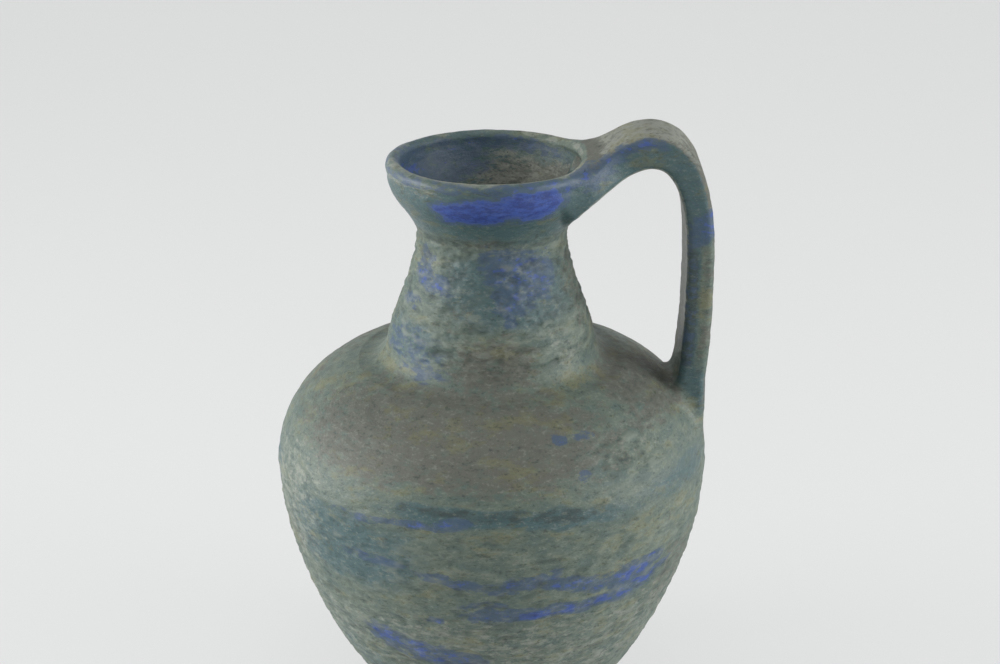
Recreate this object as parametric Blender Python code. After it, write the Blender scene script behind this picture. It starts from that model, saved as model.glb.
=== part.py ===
"""A hand-thrown jug vase: a belly and a shoulder thrown apart, a neck, a rim collar and a strap handle.

Units are metres and +Z is up. The origin is the middle of the foot, on the surface that the vase stands on.
The handle is on the +X side. Outlines are drawn as (radius, height) points and turned about the Z axis.
"""

from math import ceil, cos, pi, radians, sin, sqrt

import bmesh
import bpy
from mathutils import Vector
from mathutils.geometry import interpolate_bezier

# Foot and floor
FOOT_RADIUS = 0.051
FOOT_HEIGHT = 0.005
FOOT_RING_WIDTH = 0.009
FOOT_RECESS = 0.003
FOOT_EDGE = 0.001
FLOOR_THICKNESS = 0.009

# Thrown sections, each with its rise above the one below it
BELLY_RISE = 0.119
GIRTH_RADIUS = 0.1008
SHOULDER_RISE = 0.0495
NECK_FOOT_RADIUS = 0.0503
NECK_RISE = 0.0605
THROAT_RADIUS = 0.0347
COLLAR_RISE = 0.034
RIM_RADIUS = 0.0478
WALL = 0.0065

# Rolled lip at the top of the collar
LIP_THICKNESS = 0.0068
LIP_HEIGHT = 0.0075
LIP_PROUD = 0.0007

# Lapped seams: a tongue on the lower section stands inside a rebate in the upper one
LAP_HEIGHT = 0.005
SLIP_GAP = 0.0003

# Strap handle, from the rim over its crown and down to the shoulder
STRAP_WIDTH = 0.034
STRAP_THICKNESS = 0.013
CROWN_THICKNESS = 0.0158
CROWN_SPREAD = 0.039
CROWN_RISE = 0.0133
CROWN_REACH = 0.071
GRIP_REACH = 0.1007
GRIP_DROP = 0.0516
ROOT_DROP = 0.0104
ROOT_WIDTH = 0.056
ROOT_THICKNESS = 0.0125
ROOT_FLARE = 0.024
ROOT_TAPER = 0.012
LANDING_INSET = 0.0105
LANDING_WIDTH = 0.037
LANDING_THICKNESS = 0.0175
LANDING_FLARE = 0.024

# Headings of the outlines, in degrees from straight outwards, turning up
BELLY_HEADING = 45
UPRIGHT = 90
SHOULDER_TOP_HEADING = 178
NECK_FOOT_HEADING = 95
COLLAR_FOOT_HEADING = 82
ROOT_HEADING = 38
LEVEL = 0
LANDING_HEADING = -99

# How far a curve keeps to its end headings, as shares of its chord
BELLY_PULL = 0.30
SHOULDER_PULL = 0.38
NECK_PULL = 0.32
COLLAR_PULL = 0.36
RISE_PULL = 0.27
BEND_PULL = 0.35
FALL_PULL = 0.37

# Facets
TURN_STEPS = 48
CURVE_STEP = 0.011
LIP_STEPS = 5
STRAP_POINTS = 24
STRAP_STEPS = 12
ROOT_STEPS = 4
STRAP_SQUARENESS = 3.4

GIRTH_HEIGHT = FOOT_HEIGHT + BELLY_RISE
NECK_FOOT_HEIGHT = GIRTH_HEIGHT + SHOULDER_RISE
THROAT_HEIGHT = NECK_FOOT_HEIGHT + NECK_RISE
RIM_HEIGHT = THROAT_HEIGHT + COLLAR_RISE

FOOT = Vector((FOOT_RADIUS, FOOT_HEIGHT))
GIRTH = Vector((GIRTH_RADIUS, GIRTH_HEIGHT))
NECK_FOOT = Vector((NECK_FOOT_RADIUS, NECK_FOOT_HEIGHT))
THROAT = Vector((THROAT_RADIUS, THROAT_HEIGHT))
LIP_FOOT = Vector((RIM_RADIUS - LIP_PROUD, RIM_HEIGHT - LIP_HEIGHT))


def towards(heading):
    """The unit step in a heading given in degrees."""
    return Vector((cos(radians(heading)), sin(radians(heading))))


def curve(start, start_heading, end, end_heading, pull, steps=None):
    """Points of a cubic curve that leaves start and reaches end at the given headings."""
    chord = (end - start).length
    leave = start + towards(start_heading) * chord * pull
    arrive = end - towards(end_heading) * chord * pull
    count = steps or ceil(chord / CURVE_STEP) + 2
    return interpolate_bezier(start, leave, arrive, end, count + 1)


def inset(point, heading):
    """The point of the inside face that lies one wall in from an outside point."""
    return point + towards(heading + 90) * WALL


def rising_from(points, height):
    """The stretch of a rising outline above a height, beginning exactly there."""
    above = [point for point in points if point.y > height]
    below = [point for point in points if point.y <= height]
    if not below:
        return [Vector((above[0].x, height))] + above
    share = (height - below[-1].y) / (above[0].y - below[-1].y)
    return [below[-1].lerp(above[0], share)] + above


# Outlines of the outside faces, from the foot up
BELLY = curve(FOOT, BELLY_HEADING, GIRTH, UPRIGHT, BELLY_PULL)
SHOULDER = curve(GIRTH, UPRIGHT, NECK_FOOT, SHOULDER_TOP_HEADING, SHOULDER_PULL)
NECK = curve(NECK_FOOT, NECK_FOOT_HEADING, THROAT, UPRIGHT, NECK_PULL)
COLLAR = curve(THROAT, COLLAR_FOOT_HEADING, LIP_FOOT, UPRIGHT, COLLAR_PULL)


def tongue(seam):
    """The top edge of a lower section, from the outside in: a ledge and a tongue on its inner half."""
    tongue_radius = seam.x - (WALL + SLIP_GAP) / 2
    tongue_top = seam.y + LAP_HEIGHT
    return [
        Vector((tongue_radius, seam.y)),
        Vector((tongue_radius, tongue_top)),
        Vector((seam.x - WALL, tongue_top)),
    ]


def rebate(seam):
    """The bottom edge of an upper section, from the inside out, clear of the tongue below it."""
    rebate_radius = seam.x - (WALL - SLIP_GAP) / 2
    return [
        Vector((rebate_radius, rebate_top(seam))),
        Vector((rebate_radius, seam.y + SLIP_GAP)),
        Vector((seam.x, seam.y + SLIP_GAP)),
    ]


def rebate_top(seam):
    return seam.y + LAP_HEIGHT + SLIP_GAP


def lip():
    """The rolled lip from its outside step over the crest, down to the inside of the mouth."""
    roll = LIP_THICKNESS / 2
    middle = Vector((RIM_RADIUS - roll, RIM_HEIGHT - roll))
    turns = [pi * step / LIP_STEPS for step in range(LIP_STEPS + 1)]
    arc = [middle + Vector((cos(turn), sin(turn))) * roll for turn in turns]
    return [LIP_FOOT + Vector((LIP_PROUD, LIP_PROUD))] + arc


def lower_body_outline():
    ring_inside = FOOT_RADIUS - FOOT_RING_WIDTH
    foot = [
        Vector((0, FOOT_RECESS)),
        Vector((ring_inside - FOOT_RECESS / 2, FOOT_RECESS)),
        Vector((ring_inside, 0)),
        Vector((FOOT_RADIUS - FOOT_EDGE, 0)),
        Vector((FOOT_RADIUS, FOOT_EDGE)),
    ]
    inside = curve(inset(FOOT, BELLY_HEADING), BELLY_HEADING, inset(GIRTH, UPRIGHT), UPRIGHT, BELLY_PULL)
    bowl = rising_from(inside, FLOOR_THICKNESS)
    return foot + BELLY + tongue(GIRTH) + bowl[::-1] + [Vector((0, FLOOR_THICKNESS))]


def shoulder_outline():
    mouth = inset(NECK_FOOT, UPRIGHT)
    dome_top = inset(NECK_FOOT, SHOULDER_TOP_HEADING)
    inside = curve(inset(GIRTH, UPRIGHT), UPRIGHT, dome_top, SHOULDER_TOP_HEADING, SHOULDER_PULL)
    dome = rising_from(inside, rebate_top(GIRTH))
    mouth_edge = [Vector((mouth.x, dome_top.y))]
    return rebate(GIRTH) + SHOULDER[1:] + tongue(NECK_FOOT) + mouth_edge + dome[::-1]


def neck_outline():
    inside = curve(inset(NECK_FOOT, UPRIGHT), NECK_FOOT_HEADING, inset(THROAT, UPRIGHT), UPRIGHT, NECK_PULL)
    bore = rising_from(inside, rebate_top(NECK_FOOT))
    return rebate(NECK_FOOT) + NECK[1:] + tongue(THROAT) + bore[::-1]


def rim_collar_outline():
    bore_foot = Vector((THROAT_RADIUS - WALL, rebate_top(THROAT)))
    mouth_edge = lip()[-1]
    bore = curve(bore_foot, COLLAR_FOOT_HEADING, mouth_edge, UPRIGHT, COLLAR_PULL)
    return rebate(THROAT) + COLLAR[1:] + lip() + bore[-2::-1]


def envelope_outline():
    """The whole outside of the thrown sections, one slip gap out, with a core above the lip's crest."""
    outside = [Vector((FOOT_RADIUS, 0))] + BELLY + SHOULDER[1:] + NECK[1:] + COLLAR[1:]
    crest = LIP_STEPS // 2 + 2
    outside += lip()[:crest]
    grown = []
    for index, point in enumerate(outside):
        before = outside[max(index - 1, 0)]
        after = outside[min(index + 1, len(outside) - 1)]
        along = (after - before).normalized()
        grown.append(point + Vector((along.y, -along.x)) * SLIP_GAP)
    core_top = Vector((grown[-1].x, RIM_HEIGHT + CROWN_RISE + STRAP_WIDTH))
    return [Vector((0, 0))] + grown + [core_top, Vector((0, core_top.y))]


def shoulder_height(radius):
    """The height of the shoulder's outside face at a radius."""
    outer, inner = next(pair for pair in zip(SHOULDER, SHOULDER[1:]) if pair[1].x <= radius)
    return outer.lerp(inner, (outer.x - radius) / (outer.x - inner.x)).y


def handle_stations():
    """Stations down the strap: middle, heading, width and thickness at each.

    The wide root starts deep enough for its edges to reach the round collar, and tapers off inside it. The
    landing goes on into the shoulder until its outer edge is inside too."""
    root = Vector((RIM_RADIUS - LIP_THICKNESS, RIM_HEIGHT - ROOT_DROP))
    root_depth = RIM_RADIUS - sqrt(RIM_RADIUS**2 - (ROOT_WIDTH / 2) ** 2) + ROOT_TAPER
    crown = Vector((CROWN_REACH, RIM_HEIGHT + CROWN_RISE - CROWN_THICKNESS / 2))
    grip = Vector((GRIP_REACH - STRAP_THICKNESS / 2, RIM_HEIGHT - GRIP_DROP))
    landing_radius = GIRTH_RADIUS - LANDING_INSET
    landing_face = Vector((landing_radius, shoulder_height(landing_radius)))
    landing = landing_face + towards(LANDING_HEADING) * WALL
    rise = [root - towards(ROOT_HEADING) * root_depth * step / ROOT_STEPS for step in range(ROOT_STEPS, 0, -1)]
    rise += curve(root, ROOT_HEADING, crown, LEVEL, RISE_PULL, STRAP_STEPS)
    bend = curve(crown, LEVEL, grip, -UPRIGHT, BEND_PULL, STRAP_STEPS)
    fall = curve(grip, -UPRIGHT, landing, LANDING_HEADING, FALL_PULL, STRAP_STEPS)
    buried = landing + towards(LANDING_HEADING) * LANDING_THICKNESS
    middles = rise + bend[1:] + fall[1:] + [buried]

    run = [0.0]
    for start, end in zip(middles, middles[1:]):
        run.append(run[-1] + (end - start).length)
    crown_run, landing_run = run[len(rise) - 1], run[-2]
    stations = []
    for index, middle in enumerate(middles):
        along = (middles[min(index + 1, len(middles) - 1)] - middles[max(index - 1, 0)]).normalized()
        root_share = fade((run[index] - root_depth) / ROOT_FLARE)
        crown_share = fade(abs(run[index] - crown_run) / CROWN_SPREAD)
        landing_share = fade((landing_run - run[index]) / LANDING_FLARE)
        width = STRAP_WIDTH + root_share * (ROOT_WIDTH - STRAP_WIDTH)
        width += landing_share * (LANDING_WIDTH - STRAP_WIDTH)
        width -= fade(run[index] / ROOT_TAPER) * STRAP_WIDTH
        thickness = STRAP_THICKNESS + crown_share * (CROWN_THICKNESS - STRAP_THICKNESS)
        thickness += root_share * (ROOT_THICKNESS - STRAP_THICKNESS)
        thickness += landing_share * (LANDING_THICKNESS - STRAP_THICKNESS)
        stations.append((middle, along, width, thickness))
    return stations


def fade(share):
    """1 at the start of a stretch, easing to 0 at its end."""
    left = min(max(1 - share, 0), 1)
    return left * left * (3 - 2 * left)


def strap_section(middle, along, width, thickness):
    """The rounded oblong of the strap across its path, which lies in the XZ plane."""
    outwards = Vector((-along.y, along.x))
    points = []
    for step in range(STRAP_POINTS):
        turn = 2 * pi * step / STRAP_POINTS
        across = rounded(cos(turn)) * width / 2
        out = rounded(sin(turn)) * thickness / 2
        place = middle + outwards * out
        points.append(Vector((place.x, across, place.y)))
    return points


def rounded(value):
    """A circle's coordinate squared up, so that the section has flat faces and round edges."""
    return abs(value) ** (2 / STRAP_SQUARENESS) * (1 if value >= 0 else -1)


def finished(name, bm):
    """An object from a bmesh, with its faces out, shaded smooth between its sharp edges."""
    bmesh.ops.recalc_face_normals(bm, faces=bm.faces)
    mesh = bpy.data.meshes.new(name)
    bm.to_mesh(mesh)
    bm.free()
    mesh.shade_smooth()
    mesh.set_sharp_from_angle(angle=radians(35))
    piece = bpy.data.objects.new(name, mesh)
    bpy.context.scene.collection.objects.link(piece)
    return piece


def turned(name, outline):
    """A closed outline turned once about the Z axis."""
    bm = bmesh.new()
    corners = [bm.verts.new((point.x, 0, point.y)) for point in outline]
    edges = [bm.edges.new((corner, corners[index - 1])) for index, corner in enumerate(corners)]
    axis_edges = [edge for edge in edges if all(corner.co.x == 0 for corner in edge.verts)]
    bmesh.ops.delete(bm, geom=axis_edges, context="EDGES")
    outline_parts = list(bm.verts) + list(bm.edges)
    bmesh.ops.spin(bm, geom=outline_parts, axis=(0, 0, 1), angle=2 * pi, steps=TURN_STEPS, use_merge=True)
    bmesh.ops.remove_doubles(bm, verts=bm.verts, dist=1e-6)
    return finished(name, bm)


def strap(name):
    """The handle's strap, lofted through its stations and closed at both ends."""
    bm = bmesh.new()
    rings = []
    for station in handle_stations():
        rings.append([bm.verts.new(point) for point in strap_section(*station)])
    for upper, lower in zip(rings, rings[1:]):
        for index in range(STRAP_POINTS):
            bm.faces.new((upper[index - 1], upper[index], lower[index], lower[index - 1]))
    bm.faces.new(rings[0])
    bm.faces.new(rings[-1])
    return finished(name, bm)


def cut_away(piece, cutter):
    """Cut a guide solid out of a piece, and keep the guide out of the model."""
    cutter.hide_render = True
    cutter.display_type = "WIRE"
    cut = piece.modifiers.new("seat", "BOOLEAN")
    cut.operation = "DIFFERENCE"
    cut.solver = "EXACT"
    cut.object = cutter


def glaze(piece, colour, roughness):
    material = bpy.data.materials.new(piece.name + "_glaze")
    material.use_nodes = True
    shader = material.node_tree.nodes["Principled BSDF"]
    shader.inputs["Base Color"].default_value = (*colour, 1)
    shader.inputs["Roughness"].default_value = roughness
    shader.inputs["Metallic"].default_value = 0
    piece.data.materials.append(material)


def build():
    for old in list(bpy.data.objects):
        bpy.data.objects.remove(old, do_unlink=True)
    vase = bpy.data.objects.new("vase", None)
    bpy.context.scene.collection.objects.link(vase)

    lower_body = turned("lower_body", lower_body_outline())
    shoulder = turned("shoulder", shoulder_outline())
    neck = turned("neck", neck_outline())
    rim_collar = turned("rim_collar", rim_collar_outline())
    handle = strap("handle")
    envelope = turned("envelope", envelope_outline())
    cut_away(handle, envelope)

    glaze(lower_body, (0.125, 0.148, 0.130), 0.45)
    glaze(shoulder, (0.175, 0.178, 0.150), 0.45)
    glaze(neck, (0.120, 0.150, 0.140), 0.50)
    glaze(rim_collar, (0.085, 0.110, 0.200), 0.40)
    glaze(handle, (0.155, 0.165, 0.140), 0.40)
    for piece in (lower_body, shoulder, neck, rim_collar, handle, envelope):
        piece.parent = vase


build()
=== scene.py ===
"""The look of a hand-thrown jug vase: a rough, mottled grey-green glaze with blue streaks.

The outside, the lip and the inside of the vase are one outline, turned about the Z axis and cut into the same
sections as the solids. The handle is a strap swept along its path. Both are drawn to one smooth surface where
they meet, and both carry the same relief, so no seam shows on the outside. Units are metres.
"""

from math import ceil, cos, pi, radians, sin, sqrt

import bpy
import numpy as np
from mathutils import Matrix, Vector, noise


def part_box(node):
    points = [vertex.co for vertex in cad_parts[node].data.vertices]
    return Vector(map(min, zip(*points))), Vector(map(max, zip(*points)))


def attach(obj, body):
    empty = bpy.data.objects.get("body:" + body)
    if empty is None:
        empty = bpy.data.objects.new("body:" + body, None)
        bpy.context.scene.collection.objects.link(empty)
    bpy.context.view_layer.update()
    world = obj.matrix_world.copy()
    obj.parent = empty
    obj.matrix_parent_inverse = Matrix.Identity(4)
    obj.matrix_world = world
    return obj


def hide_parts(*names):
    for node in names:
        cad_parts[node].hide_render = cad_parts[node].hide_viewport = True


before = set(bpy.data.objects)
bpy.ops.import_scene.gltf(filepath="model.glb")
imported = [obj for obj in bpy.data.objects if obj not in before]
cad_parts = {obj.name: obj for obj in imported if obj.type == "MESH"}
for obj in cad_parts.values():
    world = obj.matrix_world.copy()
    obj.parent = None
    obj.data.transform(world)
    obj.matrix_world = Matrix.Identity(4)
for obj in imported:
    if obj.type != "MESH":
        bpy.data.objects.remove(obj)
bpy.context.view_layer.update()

# Sizes read from the frame
SLIP_GAP = 0.0003
GIRTH_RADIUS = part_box("lower_body")[1][0]
GIRTH_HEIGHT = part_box("shoulder")[0][2] - SLIP_GAP
NECK_FOOT_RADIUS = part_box("neck")[1][0]
NECK_FOOT_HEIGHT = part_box("neck")[0][2] - SLIP_GAP
THROAT_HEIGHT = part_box("rim_collar")[0][2] - SLIP_GAP
RIM_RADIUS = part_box("rim_collar")[1][0]
RIM_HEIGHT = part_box("rim_collar")[1][2]
GRIP_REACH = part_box("handle")[1][0]
CROWN_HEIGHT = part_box("handle")[1][2]

# Sizes of the thrown sections
FOOT_RADIUS = 0.051
FOOT_HEIGHT = 0.005
FOOT_RING_WIDTH = 0.009
FOOT_RECESS = 0.003
FOOT_EDGE = 0.001
FLOOR_THICKNESS = 0.009
THROAT_RADIUS = 0.0347
WALL = 0.0065
LIP_THICKNESS = 0.0068
LIP_HEIGHT = 0.0075
LIP_PROUD = 0.0007
NECK_FILLET = 0.011
AXIS_GAP = 0.001

# Sizes of the strap handle
STRAP_WIDTH = 0.034
STRAP_THICKNESS = 0.013
STRAP_EDGE = 0.0036
CROWN_THICKNESS = 0.0158
CROWN_SPREAD = 0.039
CROWN_REACH = 0.071
GRIP_DROP = 0.0516
ROOT_DROP = 0.0104
ROOT_WIDTH = 0.056
ROOT_THICKNESS = 0.0125
ROOT_FLARE = 0.024
ROOT_TAPER = 0.012
LANDING_INSET = 0.0105
LANDING_WIDTH = 0.037
LANDING_THICKNESS = 0.0175
LANDING_FLARE = 0.024

# How deep the handle's ends go into the wall, and how wide the clay is smoothed where they meet it
HANDLE_BURY = 0.0035
HANDLE_OVERLAP = 0.0003
HANDLE_SINK = 0.15
ROOT_SMOOTHING = 0.009
LANDING_SMOOTHING = 0.007

# Headings of the outlines, in degrees from straight outwards, turning up, and how far a curve keeps to them
BELLY_HEADING, BELLY_PULL = 45, 0.30
SHOULDER_TOP_HEADING, SHOULDER_PULL = 178, 0.38
NECK_FOOT_HEADING, NECK_PULL = 95, 0.32
COLLAR_FOOT_HEADING, COLLAR_PULL = 82, 0.36
ROOT_HEADING, RISE_PULL = 38, 0.27
BEND_PULL, FALL_PULL, LANDING_HEADING = 0.35, 0.37, -99
FILLET_PULL = 0.5
LIP_STEP_PULL = 0.4
UPRIGHT, LEVEL = 90, 0

# Spacing of the meshes
COLUMNS = 450
OUTSIDE_STEP = 0.001
FINE_STEP = OUTSIDE_STEP / 2
INSIDE_STEP = 0.0035
LIP_POINTS = 14
STRAP_STEP = 0.001
STRAP_COLUMNS = 96
CURVE_POINTS = 400
JOIN_GAP = 1e-6
TINY = 1e-12

MILLIMETRES = 1000


def towards(heading):
    return np.array((cos(radians(heading)), sin(radians(heading))))


def unit(vectors):
    return vectors / np.maximum(np.linalg.norm(vectors, axis=-1, keepdims=True), TINY)


def run_along(points):
    """How far along a line each of its points is."""
    return np.concatenate(([0], np.cumsum(np.linalg.norm(np.diff(points, axis=0), axis=1))))


def spaced(points, step):
    """A line of points resampled at an even step."""
    run = run_along(points)
    places = np.linspace(0, run[-1], max(ceil(run[-1] / step), 2) + 1)
    return np.stack([np.interp(places, run, points[:, axis]) for axis in range(points.shape[1])], axis=1)


def curve(start, start_heading, end, end_heading, pull, step):
    """A cubic curve that leaves start and reaches end at the given headings, at an even step."""
    start, end = np.asarray(start), np.asarray(end)
    chord = np.linalg.norm(end - start)
    leave = start + towards(start_heading) * chord * pull
    arrive = end - towards(end_heading) * chord * pull
    t = np.linspace(0, 1, CURVE_POINTS)[:, None]
    points = (1 - t) ** 3 * start + 3 * (1 - t) ** 2 * t * leave + 3 * (1 - t) * t**2 * arrive + t**3 * end
    return spaced(points, step)


def smooth_step(low, high, value):
    """A share that goes from 0 at low to 1 at high, eased at both ends. Low may be the greater one."""
    share = np.clip((value - low) / (high - low), 0, 1)
    return share * share * (3 - 2 * share)


def inset(point, heading):
    """A point of the outside moved in through the wall, square to the heading there."""
    return np.asarray(point) + towards(heading + 90) * WALL


# The outline of the wall, through these (radius, height) points

FOOT = (FOOT_RADIUS, FOOT_HEIGHT)
GIRTH = (GIRTH_RADIUS, GIRTH_HEIGHT)
NECK_FOOT = (NECK_FOOT_RADIUS, NECK_FOOT_HEIGHT)
THROAT = (THROAT_RADIUS, THROAT_HEIGHT)
LIP_FOOT = (RIM_RADIUS - LIP_PROUD, RIM_HEIGHT - LIP_HEIGHT)


def underside():
    """Corners of the foot, from the middle of its recess over the ring it stands on to the belly."""
    ring_inside = FOOT_RADIUS - FOOT_RING_WIDTH
    return np.array((
        (AXIS_GAP, FOOT_RECESS), (ring_inside - FOOT_RECESS / 2, FOOT_RECESS), (ring_inside, 0),
        (FOOT_RADIUS - FOOT_EDGE, 0), (FOOT_RADIUS, FOOT_EDGE), FOOT,
    ))


def whole_shoulder():
    return curve(GIRTH, UPRIGHT, NECK_FOOT, SHOULDER_TOP_HEADING, SHOULDER_PULL, OUTSIDE_STEP)


def shoulder_and_neck():
    """The shoulder and the neck, each with its half of the fillet where they meet."""
    shoulder = whole_shoulder()
    shoulder = shoulder[shoulder[:, 0] > NECK_FOOT_RADIUS + NECK_FILLET]
    neck = curve(NECK_FOOT, NECK_FOOT_HEADING, THROAT, UPRIGHT, NECK_PULL, OUTSIDE_STEP)
    neck = neck[neck[:, 1] > NECK_FOOT_HEIGHT + NECK_FILLET]
    fillet = curve(shoulder[-1], SHOULDER_TOP_HEADING, neck[0], NECK_FOOT_HEADING, FILLET_PULL, FINE_STEP)
    half_way = len(fillet) // 2
    shoulder = np.concatenate([shoulder, fillet[1:half_way]])
    neck = np.concatenate([fillet[half_way - 1:-1], neck])
    return shoulder, neck


def lip_turn(turn):
    """A point on the rolled lip, from its outside at 0 to its inside at pi."""
    roll = LIP_THICKNESS / 2
    return np.array((RIM_RADIUS - roll + roll * cos(turn), RIM_HEIGHT - roll + roll * sin(turn)))


def outside_spans():
    """The stretches of the outline up the outside and over the lip, each named for its end."""
    shoulder, neck = shoulder_and_neck()
    return (
        ("foot", spaced(underside()[1:], OUTSIDE_STEP)),
        ("girth", curve(FOOT, BELLY_HEADING, GIRTH, UPRIGHT, BELLY_PULL, OUTSIDE_STEP)),
        ("seat", shoulder),
        ("throat", neck),
        ("lip_foot", curve(THROAT, COLLAR_FOOT_HEADING, LIP_FOOT, UPRIGHT, COLLAR_PULL, OUTSIDE_STEP)),
        ("lip", curve(LIP_FOOT, UPRIGHT, lip_turn(0), UPRIGHT, LIP_STEP_PULL, FINE_STEP)),
        ("mouth_edge", np.array([lip_turn(turn) for turn in np.linspace(0, pi, LIP_POINTS)])),
    )


def inside_spans():
    """The stretches of the outline from the lip down the inside to the middle of the floor."""
    throat = inset(THROAT, UPRIGHT)
    neck_foot = inset(NECK_FOOT, UPRIGHT)
    dome_top = inset(NECK_FOOT, SHOULDER_TOP_HEADING)
    girth = inset(GIRTH, UPRIGHT)
    foot = inset(FOOT, BELLY_HEADING)
    mouth = curve(throat, COLLAR_FOOT_HEADING, lip_turn(pi), UPRIGHT, COLLAR_PULL, OUTSIDE_STEP)
    bore = curve(neck_foot, NECK_FOOT_HEADING, throat, UPRIGHT, NECK_PULL, INSIDE_STEP)
    bore = np.concatenate([[(neck_foot[0], dome_top[1])], bore])
    dome = curve(girth, UPRIGHT, dome_top, SHOULDER_TOP_HEADING, SHOULDER_PULL, INSIDE_STEP)
    bowl = curve(foot, BELLY_HEADING, girth, UPRIGHT, BELLY_PULL, INSIDE_STEP)
    floor = np.array((foot, (foot[0] - WALL / 2, FLOOR_THICKNESS), (AXIS_GAP, FLOOR_THICKNESS)))
    return (
        ("throat_in", mouth[::-1]),
        ("seat_in", bore[::-1]),
        ("ceiling", np.array((bore[0], dome_top))),
        ("girth_in", dome[::-1]),
        ("bowl_foot", bowl[::-1]),
        ("floor", spaced(floor, INSIDE_STEP)),
    )


def wall_outline():
    """The (radius, height) line from the foot up the outside, over the lip and down the inside to the floor.

    Also gives the index of each place where one stretch ends, by name."""
    line = spaced(underside()[:2], INSIDE_STEP)
    ends = {"start": 0}
    for name, span in outside_spans() + inside_spans():
        joined = np.allclose(line[-1], span[0], atol=JOIN_GAP)
        line = np.concatenate([line, span[1:] if joined else span])
        ends[name] = len(line) - 1
    return line, ends


OUTLINE, ENDS = wall_outline()


# The handle's path, which starts so deep that the corners of the wide root reach the round wall

ROOT_DEPTH = RIM_RADIUS - sqrt(RIM_RADIUS**2 - (ROOT_WIDTH / 2) ** 2) + ROOT_TAPER


def path_spans():
    """The stretches of the path: out of the rim, to the crown, to the grip, down, and into the shoulder."""
    shoulder = whole_shoulder()
    landing_radius = GIRTH_RADIUS - LANDING_INSET
    landing_height = np.interp(-landing_radius, -shoulder[:, 0], shoulder[:, 1])
    root = np.array((RIM_RADIUS - LIP_THICKNESS, RIM_HEIGHT - ROOT_DROP))
    crown = np.array((CROWN_REACH, CROWN_HEIGHT - CROWN_THICKNESS / 2))
    grip = np.array((GRIP_REACH - STRAP_THICKNESS / 2, RIM_HEIGHT - GRIP_DROP))
    landing = np.array((landing_radius, landing_height)) + towards(LANDING_HEADING) * WALL
    return (
        spaced(np.array((root - towards(ROOT_HEADING) * ROOT_DEPTH, root)), STRAP_STEP),
        curve(root, ROOT_HEADING, crown, LEVEL, RISE_PULL, STRAP_STEP)[1:],
        curve(crown, LEVEL, grip, -UPRIGHT, BEND_PULL, STRAP_STEP)[1:],
        curve(grip, -UPRIGHT, landing, LANDING_HEADING, FALL_PULL, STRAP_STEP)[1:],
        spaced(np.array((landing, landing + towards(LANDING_HEADING) * LANDING_THICKNESS)), STRAP_STEP)[1:],
    )


def handle_path():
    """Points down the middle of the strap, the way out of it, and its width and thickness at each."""
    spans = path_spans()
    middle = np.concatenate(spans)
    along = unit(np.gradient(middle, axis=0))
    out = np.stack([-along[:, 1], along[:, 0]], axis=1)
    run = run_along(middle)
    crown_run = run[len(spans[0]) + len(spans[1]) - 1]
    landing_run = run[-1] - LANDING_THICKNESS
    root_share = smooth_step(ROOT_DEPTH + ROOT_FLARE, ROOT_DEPTH, run)
    crown_share = smooth_step(CROWN_SPREAD, 0, abs(run - crown_run))
    landing_share = smooth_step(LANDING_FLARE, 0, landing_run - run)
    width = STRAP_WIDTH + root_share * (ROOT_WIDTH - STRAP_WIDTH)
    width += landing_share * (LANDING_WIDTH - STRAP_WIDTH)
    width -= smooth_step(ROOT_TAPER, 0, run) * STRAP_WIDTH
    thickness = STRAP_THICKNESS + crown_share * (CROWN_THICKNESS - STRAP_THICKNESS)
    thickness += root_share * (ROOT_THICKNESS - STRAP_THICKNESS)
    thickness += landing_share * (LANDING_THICKNESS - STRAP_THICKNESS)
    return {"middle": middle, "out": out, "width": width, "thickness": thickness}


PATH = handle_path()


def strap_sections():
    """The rounded oblong across the strap at each place on its path, as (sideways, outwards) points."""
    fine = 8 * STRAP_COLUMNS
    turns = np.linspace(0, 2 * pi, fine, endpoint=False) + pi / fine
    ring = np.stack([np.cos(turns), np.sin(turns)], axis=1)
    half = np.stack([PATH["width"], PATH["thickness"]], axis=1) / 2 - STRAP_EDGE
    return np.array([evenly(np.sign(ring) * size + STRAP_EDGE * ring, STRAP_COLUMNS) for size in half])


def evenly(ring, count):
    """A closed ring of points moved to count even places."""
    closed = np.concatenate([ring, ring[:1]])
    run = run_along(closed)
    places = np.linspace(0, run[-1], count, endpoint=False)
    return np.stack([np.interp(places, run, closed[:, axis]) for axis in range(2)], axis=1)


def strap_grid():
    """The strap's surface before it is smoothed into the wall: one row of points for each place on its path.

    A point is (x, y, z, side, face), where side and face go from -1 to 1 across the strap and through it."""
    sections = strap_sections()
    half = np.stack([PATH["width"], PATH["thickness"]], axis=1) / 2
    place = PATH["middle"][:, None] + sections[..., 1:] * PATH["out"][:, None]
    points = np.stack([place[..., 0], sections[..., 0], place[..., 1]], axis=2)
    return trimmed(np.concatenate([points, sections / half[:, None]], axis=2))


def trimmed(grid):
    """A strap's grid with each of its lengthwise lines cut off just inside the wall at both ends."""
    rows, columns, channels = grid.shape
    clear = core_distance(grid[..., :3].reshape(-1, 3)).reshape(rows, columns) + HANDLE_BURY
    steps = np.arange(rows)
    cut = np.empty_like(grid)
    for column in range(columns):
        outside = np.flatnonzero(clear[:, column] > 0)
        first, last = max(outside[0], 1), min(outside[-1], rows - 2)
        start = np.interp(0, clear[first - 1:first + 1, column], steps[first - 1:first + 1])
        end = np.interp(0, clear[last + 1:last - 1:-1, column], steps[last + 1:last - 1:-1])
        places = np.linspace(start, end, rows)
        for channel in range(channels):
            cut[:, column, channel] = np.interp(places, steps, grid[:, column, channel])
    return cut


# One smooth surface for the wall and the handle

# Points measured at a time, and how many points of a line make one step to measure from
BATCH = 8000
SKIP = 2

# A point is drawn to the surface in a few moves, along a slope felt over a short reach
DRAW_MOVES = 5
SLOPE_REACH = 0.0002

# The least angle at which two surfaces are taken to cross, in radians
LEAST_ANGLE = 0.3


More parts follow.
